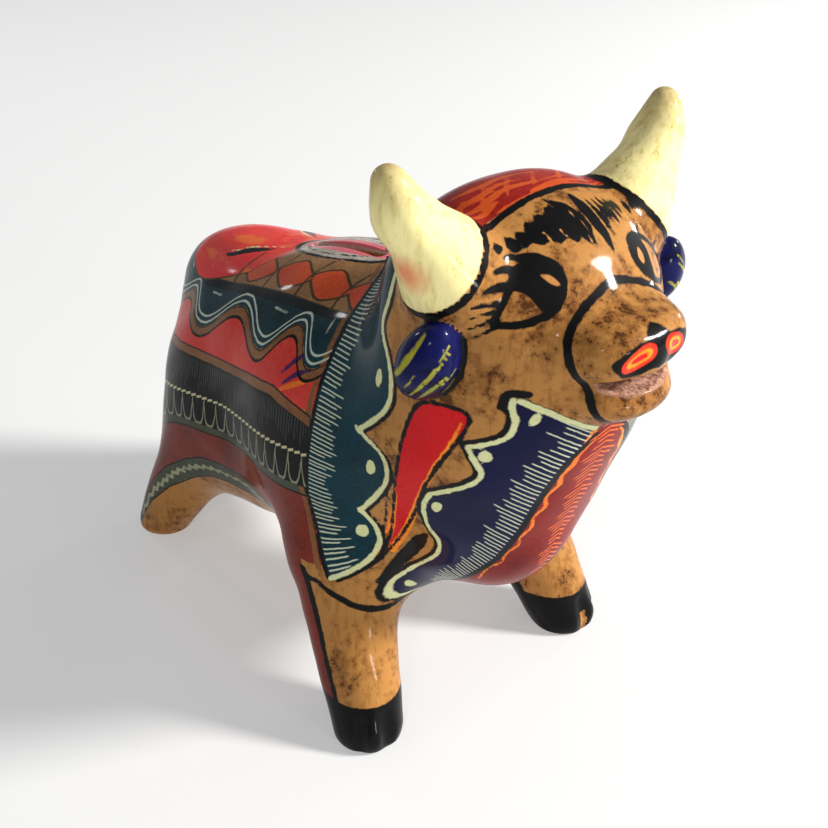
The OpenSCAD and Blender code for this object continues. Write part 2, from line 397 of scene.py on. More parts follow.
def insideShape(u, v, line):
    inside = np.zeros(len(u), bool)
    for i in range(len(line)):
        a, b = line[i], line[(i + 1) % len(line)]
        hit = (a[1] > v) != (b[1] > v)
        cross = a[0] + (v - a[1]) / (b[1] - a[1] if b[1] != a[1] else 1e-9) * (b[0] - a[0])
        inside ^= hit & (u < cross)
    return inside


layers = {}


def layer(name):
    if name not in layers:
        layers[name] = np.full(len(skin), far)
    return layers[name]


def add(name, field):
    # join a shape to a layer
    layers[name] = np.minimum(layer(name), field)


def trim(name, field):
    # keep only what lies inside a shape
    layers[name] = np.maximum(layers[name], field)


charts = {}
for name in ("face", "faceBoth", "faceRight", "neck", "flank", "side", "crown", "earFront"):
    charts[name] = chart(name, skin)


def draw(name, where, points, width=1.4, closed=False, straight=False, squash=1.0):
    # a line, or with width 0 a filled shape; squash is how many millimetres one unit up is
    u, v, valid = charts[where]
    v = v * squash
    line = np.array(points, float) * (1, squash)
    if not straight:
        line = smoothLine(line, closed or width == 0)
    lo, hi = line.min(0) - 8, line.max(0) + 8
    near = np.flatnonzero(valid & (u > lo[0]) & (u < hi[0]) & (v > lo[1]) & (v < hi[1]))
    un, vn = u[near], v[near]
    if width == 0:
        d = strokeDistance(un, vn, line, [0], True)
        d = np.where(insideShape(un, vn, line), -d, d)
    else:
        d = strokeDistance(un, vn, line, width if isinstance(width, (list, tuple)) else [width], closed)
    f = layer(name)
    f[near] = np.minimum(f[near], d)


def ellipse(middle, half, lean=0, n=14):
    t = np.arange(n) * 2 * math.pi / n
    c, s = math.cos(math.radians(lean)), math.sin(math.radians(lean))
    x, y = half[0] * np.cos(t), half[1] * np.sin(t)
    return np.stack([middle[0] + x * c - y * s, middle[1] + x * s + y * c], 1)


px, py, pz = skin.T
ax = np.abs(px)
angle, along = flankAngle(skin), flankAlong(skin)
degree = 0.84                                   # millimetres to a degree on the flank

# the collar: a teal band round the shoulders, its front edge cut into lobes
collarRear = py - (-20 + 17 * (np.clip(angle, 0, 90) / 86) ** 4 - 0.42 * np.maximum(78 - pz, 0))
collarFront = [(58, 168), (57, 150), (58.5, 141), (54.5, 133), (53, 126), (55, 118), (65.5, 106.5),
               (56.5, 104), (54.5, 98), (57, 91), (66, 79), (62.5, 74.5), (61.5, 69), (63.5, 63),
               (67, 58), (72, 53)]
neckRound, neckValid = charts["neck"][0], charts["neck"][2]
order = np.argsort([q[1] for q in collarFront])
frontAt = np.interp(pz, [collarFront[i][1] for i in order], [collarFront[i][0] for i in order])
legRing = pz - (42 + 0.62 * np.clip(neckRound - 61, -8, 14))
layers["teal"] = np.where(py < 3, np.maximum(np.maximum(collarRear, (frontAt - neckRound) * 0.8),
                                             -legRing), far)

# flank bands, by the angle up the side
bands = {
    # lowest and highest edge of each band, in degrees up the flank
    "tan": (58, 90), "night": (30, 58), "midnight": (54, 58), "rose": (22, 60), "moss": (-12, -8),
    "stripTop": 26, "stripWide": 4, "sootLow": -8.5,
    # the wavy line: its middle and rise in degrees, where along the back it turns, and the border
    # that runs under it, in mm
    "waveAt": 47, "waveRise": 6.5, "waveTurns": [-30, -12, 0, 13, 33, 54, 75, 96, 118],
    "borderFrom": 3.0, "borderTo": 6.0,
}
behind = -collarRear
swing = np.interp(along, bands["waveTurns"], np.arange(-2, len(bands["waveTurns"]) - 2) * math.pi)
wave = bands["waveAt"] + bands["waveRise"] * np.cos(swing)
petalEdge = np.interp(along, [36, 38, 45, 59, 80, 100, 130], [90, 75, 64, 58, 54, 52, 54])


def bandBetween(low, high):
    return np.maximum(np.maximum(low - angle, angle - high) * degree, behind)


waveDown = (angle - wave) * degree * 0.8
stripTop = bands["stripTop"] - 6 * np.clip((0 - py) / 20, 0, 1)
stripLow = stripTop - bands["stripWide"]
# the tan band on the upper flank: tan paint, laid darker than the clay of the face as painted shade for
# the flank
layers["tan"] = bandBetween(*bands["tan"])
layers["night"] = np.maximum(bandBetween(*bands["night"]), -waveDown - bands["borderFrom"])
layers["midnight"] = bandBetween(*bands["midnight"])
layers["border"] = np.maximum(np.maximum(waveDown + bands["borderFrom"], -waveDown - bands["borderTo"]),
                              behind)
layers["rose"] = np.maximum(bandBetween(*bands["rose"]), waveDown + bands["borderTo"])
layers["brown"] = np.maximum(np.maximum(stripLow - angle, angle - stripTop) * degree, behind)
layers["soot"] = np.maximum(np.maximum(bands["sootLow"] - angle, angle - stripLow) * degree, behind)
layers["moss"] = bandBetween(*bands["moss"])
layers["flower"] = np.maximum((petalEdge - angle) * degree, 36 - along)

# red-brown below the bands, down to the arch band over the legs and on down the front leg
archTop = np.interp(py, [-40, -22, -8, 5, 20, 38, 48, 57, 70, 80, 92],
                    [20, 34, 46, 52, 55, 53, 51, 46, 36, 25, 4])
legBack = 12 * np.radians(15) - 12 * np.arctan2(-(py + 21 + 24 * (47 - pz) / 43),
                                                ax - 33.5 - 9 * (47 - pz) / 43)
rust = np.maximum((angle + 12) * degree, np.where(py > -6, archTop - pz, -9))
rust = np.maximum(rust, np.where(pz < 56, -legBack, behind))
layers["rust"] = np.where((py > -52) & (ax > 12), rust, far)
add("moss", np.where(ax > 12, np.maximum(np.maximum(pz - archTop, archTop - 9 - pz) * 0.8,
                                         np.maximum(-6 - py, py - 96)), far))
rope = [(86, 8), (80, 19.5), (74, 26.5), (68, 33), (61, 39), (54, 43.5), (46, 47), (38, 48.5),
        (28, 50), (18, 50.5), (8, 49.5), (0, 46)]
zig = [(a + (0.5 if i % 2 else -0.5), b + (0.6 if i % 2 else -0.6))
       for i, (a, b) in enumerate(smoothLine(rope, False))]
draw("cord", "side", zig, 1.3, straight=True)

# double white wavy line, the lines that edge the bands, and the short dashes above each dip
layers["wave"], layers["strip"], layers["arch"] = waveDown, (angle - stripTop) * degree, pz - archTop
for a in (54, 13, 96):
    draw("chalk", "flank", [(a - 4, 51.5), (a + 3, 52)], [0.8, 2.0, 0.8], squash=degree)
draw("chalk", "flank", [(-11, 56), (-12, 49)], [0.8, 2.0, 0.8], squash=degree)
# diamonds between the dark band and the slot
for a in (40, 20.5, 2.5, -15):
    diamond = [(a - 9.8, 65.5), (a - 4, 71), (a + 2, 74), (a + 9, 68), (a + 4, 62), (a - 2, 59.5)]
    draw("diamond", "flank", diamond, 0, squash=degree)
    draw("olive", "flank", [(a + 8.6, 58), (a + 9.8, 66), (a + 9, 77)], 1.1, squash=degree)
trim("diamond", behind)
trim("olive", behind)

# the slot's ring
ring = np.where(pz > 100, (np.hypot(ax / 10.5, (py - 20) / 22.5) - 1) * 10.5, far)
layers["slotRing"] = ring
layers["blush"] = np.where(pz > 100, (np.hypot(ax / 5.8, (py - 20) / 20.5) - 1) * 5.8, far)
add("ink", np.where(pz > 100, np.minimum(np.abs(ring) - 0.6, np.abs(ring + 2.6) - 0.3), far))
draw("ink", "flank", [(48, 80), (56, 76), (66, 71), (76, 69)], [0.8, 4.2, 0.6], squash=degree)
draw("straw", "flank", [(46, 83), (56, 79), (67, 73.5), (78, 71)], [0.5, 1.2, 0.5], squash=degree)
for a in ([(-4, 28), (-9, 33), (-14, 36)], [(-3, 25), (-9, 29), (-16, 33)],
          [(-2, 31), (-6, 37), (-9, 41)]):
    draw("plum" if a[0][1] != 25 else "gold", "flank", a, [0.8, 2.0, 0.6], squash=degree)

# the collar's lines
edge = np.where((pz > 52) | (angle > 0), np.abs(collarRear + 0.2) - 0.75, far)
add("ink", edge)
add("brown", np.where(pz > 54, np.abs(collarRear - 1.9) - 1.0, far))
lobes = [[(58, 172), (57, 150), (58.5, 141), (54.5, 133), (53, 126), (55.5, 117), (65.5, 106.5)],
         [(66.5, 107), (56.5, 104), (54.5, 98), (57, 91), (66, 79)],
         [(66, 79.5), (62.5, 74.5), (61.5, 69), (63.5, 63), (67, 58), (72, 53)]]
for lobe in lobes:
    draw("straw", "neck", lobe, 1.5)
    draw("ink", "neck", [(a - 1.6, b) for a, b in lobe], 1.4)
for a in (ellipse((58.5, 125.5), (1.4, 2.9), 10), ellipse((60.5, 97), (1.6, 2.8), 20),
          ellipse((66, 71.5), (1.8, 2.4), 20)):
    draw("straw", "neck", a, 0)

# petal, leaf, navy panel and brisket on the chest
petal = [(44, 125), (38, 127.5), (32, 126), (34, 118), (38.5, 108), (43, 97), (48, 83),
         (56, 70), (64.5, 58.5), (59, 69), (54, 86), (50.5, 103), (48, 115)]
draw("petal", "neck", petal, 0)
draw("rim", "neck", [(33.4, 124), (36, 115), (40.8, 103), (45.5, 90), (50.5, 78), (58, 66)],
     [0.6, 1.5, 1.9, 2.4, 2.8])
draw("rim", "neck", [(51, 102), (53.4, 88), (57, 76), (62, 63)], [0.4, 1.6, 2.6, 1.6])
draw("ink", "neck", petal, 1.2, closed=True)
draw("rose", "neck", [(62, 66), (57.5, 78), (54.5, 90), (57, 80), (60.5, 72)], 0)
draw("ink", "neck", [(63.5, 64), (58.5, 78), (55, 92)], [1.2, 0.8])
leaf = [(43.5, 77.5), (48, 75), (53, 69), (59, 61), (63.5, 52), (57, 58), (49, 66), (44.5, 72.5)]
draw("ink", "neck", leaf, 0)
navyOut = [[(5, 120), (11, 124.5), (17, 128.5), (22.5, 132)],
           [(23.5, 132), (23.6, 129), (22.6, 125), (24.5, 120), (32, 116)],
           [(32, 116), (30.5, 112), (28.5, 107), (31, 102.5), (41, 96)],
           [(41, 96), (43.5, 90), (43, 82), (39.5, 75), (42, 67), (53, 58), (60, 52), (61, 46), (57, 41),
            (52, 39.5)]]
navyIn = [(43, 42), (35, 52), (26, 63), (20, 71), (15, 84), (12, 99), (9, 110), (4, 117.5)]
outline = [q for part in navyOut for q in smoothLine(part, False)] + list(smoothLine(navyIn, False))
draw("navy", "neck", outline, 0, straight=True)
for part in navyOut:
    draw("straw", "neck", part, 1.45)
    draw("ink", "neck", [(a + 1.2, b + 0.9) for a, b in part], 1.7)
draw("ink", "neck", [(20.5, 133.5), (24.6, 133.6), (25.8, 130)], 1.9)
draw("ink", "neck", navyIn, 1.9)
for a in (ellipse((18.9, 126.2), (1.1, 2.0), 20), ellipse((28, 113.5), (1.6, 2), 0),
          ellipse((39.5, 91), (1.5, 2.2), 20), ellipse((56.5, 49), (1.4, 2.2), 0)):
    draw("straw", "neck", a, 0)
inner = np.interp(pz, [q[1] for q in navyIn], [q[0] for q in navyIn])
navyAcross = np.where(neckValid, neckRound - inner, far)
brisket = np.maximum(np.maximum(neckRound - inner, pz - 124.5 + 0.2 * neckRound), 30 - pz)
layers["crimson"] = np.where((py < -12) & neckValid & (pz < 126), np.maximum(brisket, 37 - pz), far)
draw("gold", "neck", [(5.5, 116), (5, 120)], [2.6, 1.2])
wavy = [(4.5, 116), (7, 112), (7.5, 108), (9.7, 104.5), (9, 100.5), (11.3, 96.5), (10.4, 92),
        (12.8, 88), (12.4, 83.5), (14.8, 80), (14.8, 76), (17.8, 73), (18.6, 68.5), (22.5, 66),
        (24.5, 59)]
draw("gold", "neck", wavy, [2.0, 1.3, 1.2, 1.0])

# legs: ring, the dark line down the outside, hooves
hoofLine = 15.5
ringLine = np.where((py < -20) & (neckRound > 38), np.abs(legRing) - 0.9, far)
add("ink", np.where((legBack < 0.6) & (pz < 56) & (pz > 30), ringLine, far))
add("ink", np.where((pz < 54) & (py < -8) & (ax > 34), np.abs(legBack) - 1.0, far))
add("ink", np.where(py < -20, pz - hoofLine, far))
insideLeg = np.where((py < -20) & (pz < 34) & (ax < 40), np.abs(py + 31 + 0.55 * (30 - pz)) - 1.6, far)
add("ink", insideLeg)

# horns, ears and muzzle: the ink line round each
own = partFields(skin)
shell = np.minimum(np.minimum(own["body"], own["nose"]), own["jaw"])
earEdge = own["ear"] - shell
base, tip = np.array(clay["horn"][0][0]), np.array(clay["horn"][0][2])
axis = (tip - base) / np.linalg.norm(tip - base)
fromBase = np.stack([ax, py, pz], 1) - base
upHorn = fromBase @ axis
outFrom = fromBase - upHorn[:, None] * axis
inward = -outFrom[:, 0] / np.maximum(np.linalg.norm(outFrom, axis=1), 1)
hornStart = 4.3 + 4.0 * inward + np.where(px < 0, 3.4, -0.6)
hornPaint = np.where((pz > 142) & (own["horn"] < 1.6), hornStart - upHorn, far)
layers["horn"] = hornPaint
layers["ear"] = np.where((pz > 115) & (pz < 160), earEdge, far)
add("ink", np.where(hornPaint < far, np.abs(hornPaint - 1.0) - 1.1, far))
add("ink", np.where((pz > 115) & (pz < 160), np.maximum(own["ear"] - 1.5, shell - 0.6), far))
muzzle = muzzleLine(skin)
across = np.array([0, 1, -cut["muzzleLean"]])
steep = np.linalg.norm(across - normals * (normals @ across)[:, None], axis=1)
muzzle = muzzle / np.maximum(steep, 0.3)
add("ink", np.where((pz > 119) & (py < -78), np.abs(muzzle) - 1.15, far))

# face
draw("ink", "face", [(-29, 37), (-19, 40.8), (-13, 42), (-6.5, 42.8), (1, 43), (9, 42.6), (18, 41),
                     (23, 39)], 2.1)
draw("ink", "face", [(-18, 31), (-17, 36), (-15, 34.6), (-13.2, 37.2), (-11.4, 35.6), (-9.6, 38),
                     (-7.6, 36.4), (-5.6, 39), (-4, 37.6), (-4.4, 41), (-1.4, 38.4), (0.8, 35.6),
                     (1.8, 32), (1.4, 29), (0, 25.6), (-1.8, 26.2), (-3, 28), (-5, 27.2), (-6.4, 29),
                     (-9, 28.2), (-11, 30), (-13, 29.4), (-15, 31), (-17, 30.4)], 0, straight=True)
draw("ink", "face", [(-26.4, 33), (-24.4, 35), (-22.6, 33), (-24.6, 31)], 0, straight=True)
draw("ink", "face", [(-21.4, 33), (-19.8, 36.4), (-17.8, 33.6), (-17.6, 31), (-20, 30.2)], 0,
     straight=True)
draw("ink", "face", [(3.2, 41), (5.2, 38), (5.8, 33), (6, 28), (4.2, 21.6), (3, 26), (1.9, 31), (2, 36)],
     0, straight=True)
for a, top, low in ((7.2, 38, 25), (9.4, 37, 28.5), (11.6, 37, 28), (13.8, 36.4, 29.5), (16, 36, 31),
                    (20, 35.5, 30), (22.4, 34.5, 31)):
    draw("ink", "face", [(a - 0.6, top), (a, (top + low) / 2), (a + 0.3, low)], [0.6, 2.1, 0.5])
eye = [(29.2, 15.4), (24.8, 14), (21, 14.2), (17, 15.6), (14.3, 18), (12.8, 21), (13.2, 24.4),
       (15.6, 27.2), (19, 28), (23, 25.8), (26, 22), (28.3, 18.6)]
draw("ink", "faceRight", eye, 2.0, closed=True)
draw("ink", "faceRight", [(24.4, 24), (21.8, 20), (19.8, 16), (17, 15.4), (13.6, 18), (12.6, 22),
                          (14, 26), (17, 28.4), (20, 28.8), (22.6, 27)], 0)
for line in ([(-1.6, 36), (-0.2, 31), (-1, 26.4)], [(-7, 31.4), (-6.2, 27.6)],
             [(-11.4, 33), (-10.8, 29)]):
    draw("glint", "face", line, 0.5)
for line in ([(-8, -2), (-5, 4), (-1, 10)], [(-8.6, 3), (-6, 8), (-2.4, 11)],
             [(-4, -7), (-0.5, -1), (5, 5.6)], [(-2.4, -9), (1, -4), (4.6, 0)],
             [(-0.5, -10.5), (3.4, -8), (6.4, -3.6)], [(-1, -2), (1.4, 2.6)], [(2.4, 4), (5, 8)],
             [(-5.4, -4), (-3, 1)], [(3, -3.4), (6.6, 0.6)]):
    draw("earStroke", "earFront", line, [0.5, 1.3, 0.4])
draw("glint", "faceRight", [(17.4, 23.6), (15.3, 22.6), (14.1, 20), (15.9, 20.8)], 0)
for line in ([(28.5, 21), (34.5, 22)], [(29.5, 19), (34.5, 19.2)], [(29.5, 16.8), (34, 16)],
             [(28.6, 14.8), (33.5, 12.6)]):
    draw("ink", "faceRight", line, [1.4, 0.8])
for line in ([(24, 23.6), (28.5, 24.6), (32.5, 24.4)], [(21, 26.4), (25, 28), (29, 28)],
             [(18, 27.6), (21, 30), (24, 30.6)], [(13.4, 24), (15.8, 27.6), (19.4, 30)]):
    draw("ink", "faceRight", line, [2.6, 2.0, 0.8])
draw("ink", "faceBoth", [(13.5, 4.4), (11, 6.2), (7.5, 7.2), (4, 7.4), (2.2, 8.8), (-1.6, 9),
                         (-1.6, 2.6), (2.5, 2.2), (6.5, 1.2), (10.5, 2)], 0)
draw("nostril", "faceBoth", ellipse((6.3, 4.7), (4.9, 2.0), -14), 0)
draw("nostrilRing", "faceBoth", ellipse((6.3, 4.75), (3.5, 1.3), -14), 0)
draw("nostrilHeart", "faceBoth", ellipse((6.3, 4.8), (2.4, 0.7), -14), 0)

# the left eye is smaller and plainer
draw("ink", "face", [(13, 25), (10.4, 21), (13.6, 15.6), (21.5, 11.8), (26, 14), (21.5, 22.4)], 1.7,
     closed=True)
draw("ink", "face", [(13, 25), (10.4, 21), (13.4, 16), (17.4, 14.4), (18.8, 18), (17.8, 23)], 0)
draw("glint", "face", [(14.2, 22), (12.8, 19.6), (14.4, 17.6), (15.4, 20)], 0)
for line in ([(25.5, 15.4), (30, 14)], [(25, 17.5), (29.5, 17.4)], [(23, 20.5), (27.4, 21.8)],
             [(17, 25), (21, 28)]):
    draw("ink", "face", line, [1.5, 0.7])

# crown: dark red with flames behind the brow line
crownFront = charts["face"][1] - np.interp(px, [-29, -19, -13, -6.5, 1, 9, 19, 26],
                                           [37, 40.8, 42, 42.8, 43, 42.6, 40.8, 37.5])
crown = np.maximum(np.maximum(1.2 - crownFront, py + 38), ax - 31)
layers["crown"] = np.where(pz > 148, np.maximum(crown, 0.5 - hornPaint), far)
add("ink", np.where(pz > 140, np.maximum(np.abs(py + 38) - 1.0, ax - 40), far))
for line in ([(-16, -60.4), (-4, -61.2), (6, -60.6), (14, -61.2), (24, -59)],
             [(-4, -59.5), (8, -58.6), (20, -58)],
             [(-25, -57), (-20, -58.6), (-12, -57)],
             [(-24, -53), (-17, -55.5), (-8, -54.5), (2, -56), (14, -55)],
             [(-23, -49), (-15, -52), (-7, -51), (0, -53)],
             [(-18, -45), (-10, -48), (-2, -47.5), (8, -50)]):
    draw("blaze", "crown", line, [0.6, 2.4, 1.6, 0.5])
for a in (-22, -15, -7, 2, 11):
    draw("blaze", "crown", [(a - 3, -58), (a, -54), (a + 5, -49)], [0.5, 1.2, 0.4])

layers["ink"] = np.where(hornPaint < -0.3, far, layers["ink"])
trim("earStroke", own["ear"] - 0.5)
layers["ink"] = np.where((px > 0) & (np.abs(px - 43) < 1.7) & (py < -50) & (pz < 8), 1.0, layers["ink"])

mouthFloor = lumpField(np.stack([ax, py, pz], 1), [(0, -101, 136.4), (18, 10.2, 2.7), 5, 2.0])
layers["bare"] = np.where(py < -84, mouthFloor, far)
layers["archReach"] = np.where(ax > 12, np.maximum(-5 - py, py - 95), far)
layers["collarAcross"], layers["flankAngle"], layers["flankAlong"] = collarRear, angle, along
layers["navyAcross"] = navyAcross
print("painting laid out", len(layers), "layers")


# shader maths
class Value:
    # a number that varies over the surface; + - * / and the rest add Math nodes
    def __init__(self, paint, socket):
        self.paint, self.socket = paint, socket

    def maths(self, operation, *others, clamp=False):
        settings = {"operation": operation, "use_clamp": clamp}
        node = self.paint.node("Math", settings, dict(enumerate(others)))
        return Value(self.paint, node.outputs[0])

    def __add__(self, other):
        return self.maths("ADD", self, other)

    def __sub__(self, other):
        return self.maths("SUBTRACT", self, other)

    def __rsub__(self, other):
        return self.maths("SUBTRACT", other, self)

    def __mul__(self, other):
        return self.maths("MULTIPLY", self, other)

    def __truediv__(self, other):
        return self.maths("DIVIDE", self, other)

    __radd__ = __add__
    __rmul__ = __mul__

    def size(self):
        return self.maths("ABSOLUTE", self)

    def root(self):
        return self.maths("SQRT", self)

    def floor(self):
        return self.maths("FLOOR", self)

    def part(self):
        return self.maths("FRACT", self)

    def clamp(self):
        return self.maths("ADD", self, 0.0, clamp=True)


class Paint:
    # one material's nodes
    def __init__(self, name):
        self.material = bpy.data.materials.new(name)
        self.material.use_nodes = True
        self.tree = self.material.node_tree
        self.tree.nodes.clear()

    def node(self, kind, settings=None, sockets=None):
        made = self.tree.nodes.new("ShaderNode" + kind)
        for key, value in (settings or {}).items():
            setattr(made, key, value)
        for key, value in (sockets or {}).items():
            if isinstance(value, Value):
                value = value.socket
            if isinstance(value, bpy.types.NodeSocket):
                self.tree.links.new(value, made.inputs[key])
            else:
                made.inputs[key].default_value = value
        return made

    def field(self, name):
        return Value(self, self.node("Attribute", {"attribute_name": name}).outputs["Fac"])

    def noise(self, vector, scale, detail=2.0, rough=0.5):
        made = self.node("TexNoise", None, {"Vector": vector, "Scale": scale, "Detail": detail,
                                            "Roughness": rough})
        return Value(self, made.outputs["Fac"])

    def stretch(self, amounts):
        # the place in millimetres, drawn out differently along each axis
        return self.node("Mapping", {"vector_type": "POINT"}, {0: self.scaled, 3: amounts}).outputs[0]

    def measure(self):
        # where a point is in millimetres, and the noises that the coats share
        place = self.node("TexCoord").outputs["Object"]
        self.scaled = self.node("VectorMath", {"operation": "SCALE"},
                                {0: place, "Scale": 1000.0}).outputs[0]
        axes = self.node("SeparateXYZ", None, {0: self.scaled})
        self.x, self.y, self.z = [Value(self, axes.outputs[i]) for i in range(3)]
        self.slow = self.noise(self.scaled, 0.055, 3.0)
        self.sponge = self.noise(self.scaled, 0.3, 5.0, 0.65)
        self.speck = self.noise(self.scaled, 1.1, 3.0, 0.7)
        self.bristle = self.noise(self.scaled, 0.9, 3.0, 0.6)
        drift = (self.noise(self.scaled, 0.35, 2.0) - 0.5) * finish["edgeWander"] * 2
        self.wander = drift + (self.speck - 0.5) * 0.35

    def mix(self, factor, a, b):
        made = self.node("Mix", {"data_type": "RGBA"}, {0: factor, 6: a, 7: b})
        return made.outputs[2]


def shade(red, green, blue):
    # a colour given as it looks, 0 to 255
    return tuple((c / 255 / 12.92 if c < 10.3 else ((c / 255 + 0.055) / 1.055) ** 2.4)
                 for c in (red, green, blue)) + (1.0,)


# the paints, in the order that they go on: colour, second colour it is streaked with, and
# how much of the second shows
palette = {
    "rust": [(126, 46, 32), (72, 28, 18), 0.6],
    "moss": [(70, 76, 58), (42, 44, 34), 0.6],
    # tan: a darker copy of the clay ground, partly painted shade for the flank
    "tan": [(158, 114, 72), (114, 78, 46), 0.6],
    "night": [(18, 58, 66), (10, 30, 36), 0.7],
    "midnight": [(14, 16, 18), (16, 34, 38), 0.5],
    "border": [(140, 94, 56), (96, 60, 34), 0.6],
    "rose": [(200, 50, 46), (216, 82, 58), 0.5],
    "brown": [(134, 88, 52), (92, 56, 32), 0.6],
    "soot": [(12, 13, 14), (24, 28, 27), 0.5],
    "diamond": [(196, 66, 30), (222, 100, 48), 0.5],
    "flower": [(226, 40, 50), (234, 86, 50), 0.5],
    "slotRing": [(186, 180, 166), (120, 104, 98), 0.6],
    "blush": [(214, 84, 100), (200, 150, 150), 0.6],
    "olive": [(66, 52, 24), (40, 34, 18), 0.5],
    "teal": [(0, 52, 64), (6, 28, 34), 0.6],
    "crimson": [(132, 22, 14), (92, 14, 10), 0.6],
    "crown": [(140, 24, 18), (176, 48, 26), 0.6],
    "petal": [(196, 12, 22), (214, 34, 30), 0.5],
    "rim": [(240, 118, 28), (246, 166, 50), 0.7],
    "navy": [(10, 13, 58), (10, 12, 36), 0.5],
    "plum": [(66, 34, 84), (40, 22, 60), 0.5],
    "blaze": [(206, 84, 30), (186, 60, 26), 0.5],
    "cord": [(160, 160, 128), (120, 122, 96), 0.6],
    "earStroke": [(170, 164, 50), (110, 112, 40), 0.5],
    "gold": [(226, 104, 30), (236, 150, 50), 0.5],
    "ink": [(10, 10, 12), (22, 20, 20), 0.4],
    "chalk": [(188, 196, 180), (140, 150, 136), 0.5],
    "straw": [(214, 216, 164), (188, 190, 132), 0.5],
    "nostril": [(236, 44, 32), (244, 90, 40), 0.5],
    "nostrilRing": [(250, 150, 34), (246, 110, 30), 0.5],
    "nostrilHeart": [(236, 8, 34), (226, 20, 40), 0.5],
    "glint": [(190, 132, 76), (170, 110, 60), 0.5],
}
finish = {
    "clayLight": (174, 122, 64), "clayDeep": (120, 74, 34), "claySpeck": (60, 34, 16),
    "earBlue": (14, 18, 74), "earDark": (8, 10, 34),
    "hornCream": (244, 232, 166), "hornShade": (220, 204, 132), "hornGrime": (120, 108, 62),
    "hornTip": (122, 84, 44), "hornSmudge": (226, 96, 62),
    "edgeSoft": 0.34,       # mm over which a painted edge fades
    "edgeWander": 0.5,      # mm that a painted edge wanders
    "varnish": 0.5, "varnishRough": 0.09, "varnishIor": 1.22,
    "paintRough": 0.5, "paintGloss": 0.04,
    "relief": 0.45, "reliefDepth": 0.0003,
}
fineWork = ("nostril", "nostrilRing", "nostrilHeart", "glint", "chalk", "olive", "earStroke")
# thin lines along the flank: layer, offset and half width in mm, paint
thinLines = [
    ("wave", 3.2, 0.3, "ink"), ("wave", 6.0, 0.55, "ink"),
    ("strip", 0.0, 0.4, "ink"), ("strip", 3.4, 0.35, "ink"),
    ("flankAngle", 12.0, 0.5, "ink"),
    ("arch", 0.0, 0.45, "ink"), ("arch", 9.0, 0.4, "ink"),
    ("diamond", 0.0, 0.55, "olive"), ("flower", 0.0, 0.5, "olive"),
    ("wave", -0.4, 0.42, "chalk"), ("wave", 1.6, 0.42, "chalk"),
    ("tan", 0.0, 0.3, "olive"),
]
# rows of fine strokes: pitch, width, shortest and longest in mm, and lean
strokeRows = {
    "fringe": (1.4, 0.62, 6.5, 11.0, 0.12),
    "panel": (1.75, 0.7, 7.0, 11.5, 0.0),
    "brisket": (1.9, 0.8, 3.0, 6.5, 0.0),
    "comb": (1.25, 0.42, 6.0, 12.0, 0.1),
}
# the rope and the loops in the dark band: heights in degrees, widths in mm
darkBand = {
    "combTop": 21.0, "ropeAt": 5.0, "bead": 2.9, "ropeHalf": 0.62,
    "loopWide": 6.0, "loopLow": -8.0, "loopTall": 11.5, "loopTop": 4.4,
}


def edge(paint, name):
    # 1 inside a painted layer, fading to 0 over its edge
    return (0.5 - paint.field(name) / 0.6).clamp()


def strokes(paint, u, v, row):
    # a row of fine hand-made strokes: u runs along the row and v along each stroke
    pitch, wide, short, long, lean = strokeRows[row]
    place = (u + v * lean) / pitch
    which = place.floor()
    chance = Value(paint, paint.node("TexWhiteNoise", {"noise_dimensions": "1D"},
                                     {"W": which}).outputs["Value"])
    offset = ((place.part() - 0.5 + (chance - 0.5) * 0.3).size()) * pitch
    body = ((wide / 2 - offset) / 0.22).clamp()
    reach = short + (long - short) * chance
    return body * ((reach - v) / 0.8).clamp() * (v / 0.5).clamp()


def clayCoat(paint):
    # the ground coat, sponged with darker brown and dragged with a dry brush
    light, deep, dark = [shade(*finish[k]) for k in ("clayLight", "clayDeep", "claySpeck")]
    colour = paint.mix(((paint.sponge + paint.slow - 0.94) * 3.6).clamp(), light, deep)
    spots = ((paint.speck + paint.sponge * 1.3 + paint.slow - 1.8) * 8).clamp()
    colour = paint.mix(spots * 0.8, colour, dark)
    drag = paint.noise(paint.stretch((0.5, 0.5, 0.07)), 1.0, 4.0, 0.6)
    return paint.mix(((drag - 0.53) * 6).clamp() * 0.55, colour, deep)


def hornCoat(paint, colour):
    # cream, rubbed along the horn and darker at the tip, with one red smudge
    rub = paint.noise(paint.stretch((0.5, 0.5, 0.09)), 1.0, 4.0, 0.6)
    cream = paint.mix(((rub - 0.5) * 4 + 0.25).clamp(), shade(*finish["hornCream"]),
                      shade(*finish["hornShade"]))
    cream = paint.mix(((rub + paint.speck - 1.16) * 6).clamp() * 0.6, cream, shade(*finish["hornGrime"]))
    cream = paint.mix(((paint.z - 178) / 12).clamp() * 0.6, cream, shade(*finish["hornTip"]))
    away = ((paint.y + 62) * (paint.y + 62) + (paint.z - 163) * (paint.z - 163)).root()
    smudge = ((6.5 - away) / 5).clamp() * ((paint.x.size() - 38) / 5).clamp()
    cream = paint.mix(smudge * 0.7, cream, shade(*finish["hornSmudge"]))
    return paint.mix(edge(paint, "horn"), colour, cream)


def brushCoats(paint, base, colour):
    # every paint of the palette in turn; thick is the paint that stands up under the varnish
    thick = 0.0
    for key, (first, second, amount) in palette.items():
        if key not in layers or (base == "ear" and key not in ("ink", "earStroke")):
            continue
        loose = 0.4 if key in fineWork else 1.0
        mask = (0.5 - (paint.field(key) + paint.wander * loose) / finish["edgeSoft"]).clamp()
        streak = ((paint.bristle + paint.slow - 1.0) * 3 * amount + amount * 0.45).clamp()
        tone = paint.mix(streak, shade(*first), shade(*second))
        if key == "flower":
            ripple = paint.noise(paint.stretch((0.12, 0.04, 0.16)), 1.0, 3.0, 0.55)
            tone = paint.mix(((ripple - 0.55) * 12).clamp() * 0.5, tone, shade(240, 132, 50))
        colour = paint.mix(mask, colour, tone)
        if key in ("straw", "ink", "gold"):
            thick = mask + thick
    return colour, thick


